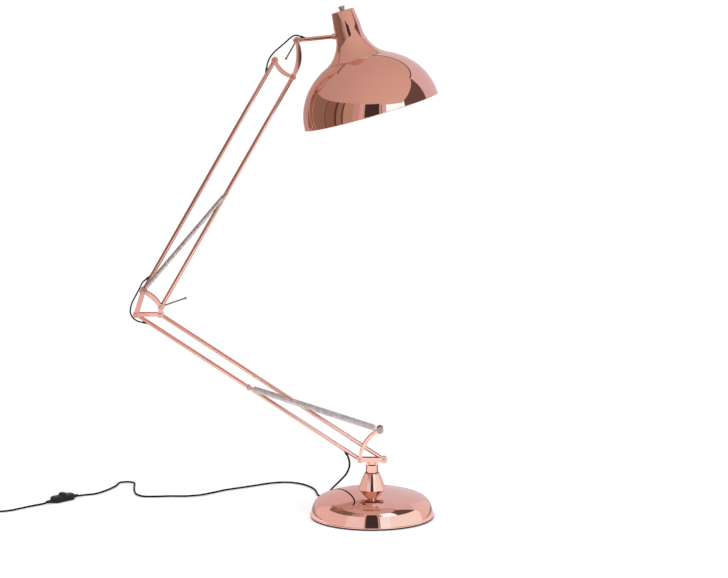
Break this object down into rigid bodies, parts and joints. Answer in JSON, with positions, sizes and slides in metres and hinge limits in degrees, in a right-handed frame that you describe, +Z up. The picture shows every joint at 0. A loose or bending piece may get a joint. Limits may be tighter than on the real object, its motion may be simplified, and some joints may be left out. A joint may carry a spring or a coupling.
{
  "type": "floor lamp",
  "caption": "Tall floor lamp with spring-balanced parallelogram arms, round weighted base, tilting dome shade, clamp levers and a lead with foot switch.",
  "frame": {"origin": "centre of the base's underside, on the floor", "axes": "+Z up; the arms move in the XZ plane, with the shade's reach towards +X and the elbow towards -X"},
  "size_m": [1.439, 0.6594, 1.5306],
  "materials": {
    "copper": "polished",
    "shade_copper": "polished",
    "steel": "satin",
    "spring_steel": "satin",
    "iron": "matte",
    "felt": "matte",
    "bush": "satin",
    "flex": "satin",
    "black_plastic": "satin",
    "tie": "satin",
    "plug_brass": "polished",
    "bulb_glass": "gloss"
  },
  "bodies": {
    "base": {"base_pad": "felt", "base_weight": "iron", "base_cover": "copper", "base_cone": "copper", "base_stud": "steel", "post_bush": "bush", "cord_floor": "flex", "foot_switch_base": "black_plastic", "foot_switch_top": "black_plastic", "cord_tail": "flex", "cord_coil": "flex", "cord_tie": "tie", "plug_body": "black_plastic", "plug_pins": "plug_brass"},
    "foot_switch_button": {"foot_switch_button": "black_plastic"},
    "swivel": {"swivel_post": "copper", "base_cheek_front": "copper", "base_cheek_rear": "copper", "base_cheek_screws": "steel", "base_pivot_bolts": "steel", "spring_anchor_bolt": "steel", "cord_drop": "flex"},
    "lower_arm": {"lower_bar_a": "copper", "lower_ends_a": "copper", "lower_sleeves": "black_plastic", "lower_spring_pin": "steel", "lower_spring_front": "spring_steel", "lower_spring_rear": "spring_steel"},
    "lower_spring_ends": {"lower_anchor_eyes": "steel"},
    "lower_link": {"lower_bar_b": "copper", "lower_ends_b": "copper"},
    "elbow": {"elbow_cheek_front": "copper", "elbow_cheek_rear": "copper", "elbow_bolts": "steel", "cord_elbow": "flex"},
    "elbow_lever": {"elbow_lever": "steel"},
    "upper_arm": {"upper_bar_c": "copper", "upper_ends_c": "copper", "upper_sleeves": "black_plastic"},
    "upper_link": {"upper_bar_d": "copper", "upper_ends_d": "copper", "upper_spring_pin": "steel", "upper_spring_front": "spring_steel", "upper_spring_rear": "spring_steel"},
    "upper_spring_ends": {"upper_anchor_eyes": "steel"},
    "head_bracket": {"head_cheek_front": "copper", "head_cheek_rear": "copper", "head_bolts": "steel", "cord_head": "flex"},
    "head_lever": {"head_lever": "steel"},
    "head_arm": {"head_tube": "copper", "head_sleeve": "black_plastic", "head_lock_nuts": "steel"},
    "shade": {"shade_shell": "shade_copper", "shade_top_nut": "steel", "lampholder_stem": "steel", "lampholder": "black_plastic", "bulb_cap": "steel", "bulb_glass": "bulb_glass"}
  },
  "joints": [
    {"name": "base_swivel", "type": "hinge", "parent": "base", "child": "swivel", "pos_m": [0, 0, 0.135], "axis": [0, 0, 1], "range_deg": [-170, 170]},
    {"name": "lower_arm_tilt", "type": "hinge", "parent": "swivel", "child": "lower_arm", "pos_m": [-0.036, 0, 0.174], "axis": [0, 1, 0], "range_deg": [-6, 36], "deforming": ["cord_drop", "lower_spring_front", "lower_spring_rear", "lower_anchor_eyes"]},
    {"name": "lower_link_follow", "type": "hinge", "parent": "swivel", "child": "lower_link", "pos_m": [0.036, 0, 0.174], "axis": [0, 1, 0], "range_deg": [-6, 36]},
    {"name": "elbow_follow", "type": "hinge", "parent": "lower_arm", "child": "elbow", "pos_m": [-0.70311, 0, 0.61555], "axis": [0, 1, 0], "range_deg": [-36, 6]},
    {"name": "lower_spring_stretch", "type": "slide", "parent": "lower_arm", "child": "lower_spring_ends", "axis": [0.9504, 0, -0.311], "range_m": [-0.08, 0.02]},
    {"name": "upper_arm_tilt", "type": "hinge", "parent": "elbow", "child": "upper_arm", "pos_m": [-0.68111, 0, 0.68655], "axis": [0, -1, 0], "range_deg": [-24, 15], "deforming": ["cord_elbow", "upper_spring_front", "upper_spring_rear", "upper_anchor_eyes"]},
    {"name": "upper_link_follow", "type": "hinge", "parent": "elbow", "child": "upper_link", "pos_m": [-0.62845, 0, 0.63745], "axis": [0, -1, 0], "range_deg": [-24, 15]},
    {"name": "head_follow", "type": "hinge", "parent": "upper_arm", "child": "head_bracket", "pos_m": [-0.28611, 0, 1.37071], "axis": [0, -1, 0], "range_deg": [-15, 24]},
    {"name": "upper_spring_stretch", "type": "slide", "parent": "upper_link", "child": "upper_spring_ends", "axis": [-0.6493, 0, -0.7605], "range_m": [-0.022, 0.04]},
    {"name": "head_tilt", "type": "hinge", "parent": "head_bracket", "child": "head_arm", "pos_m": [-0.22211, 0, 1.42871], "axis": [0, -1, 0], "range_deg": [-12, 55], "deforming": ["cord_head"]},
    {"name": "shade_roll", "type": "hinge", "parent": "head_arm", "child": "shade", "pos_m": [-0.22211, 0, 1.42871], "axis": [0.9945, 0, 0.1045], "range_deg": [-90, 90]},
    {"name": "elbow_lever_turn", "type": "hinge", "parent": "elbow", "child": "elbow_lever", "pos_m": [-0.62845, 0, 0.63745], "axis": [0, 1, 0], "range_deg": [-20, 60]},
    {"name": "head_lever_turn", "type": "hinge", "parent": "head_bracket", "child": "head_lever", "pos_m": [-0.22211, 0, 1.42871], "axis": [0, 1, 0], "range_deg": [-40, 40]},
    {"name": "switch_press", "type": "slide", "parent": "base", "child": "foot_switch_button", "axis": [0, 0, -1], "range_m": [0, 0.002], "stiffness_N_per_m": 1500, "springref_m": -0.0005}
  ],
  "couplings": [
    {"joint": "lower_link_follow", "follows": "lower_arm_tilt", "ratio": 1},
    {"joint": "elbow_follow", "follows": "lower_arm_tilt", "ratio": -1},
    {"joint": "lower_spring_stretch", "follows": "lower_arm_tilt", "m_per_rad": -0.1066},
    {"joint": "upper_link_follow", "follows": "upper_arm_tilt", "ratio": 1},
    {"joint": "head_follow", "follows": "upper_arm_tilt", "ratio": -1},
    {"joint": "upper_spring_stretch", "follows": "upper_arm_tilt", "m_per_rad": -0.07}
  ]
}
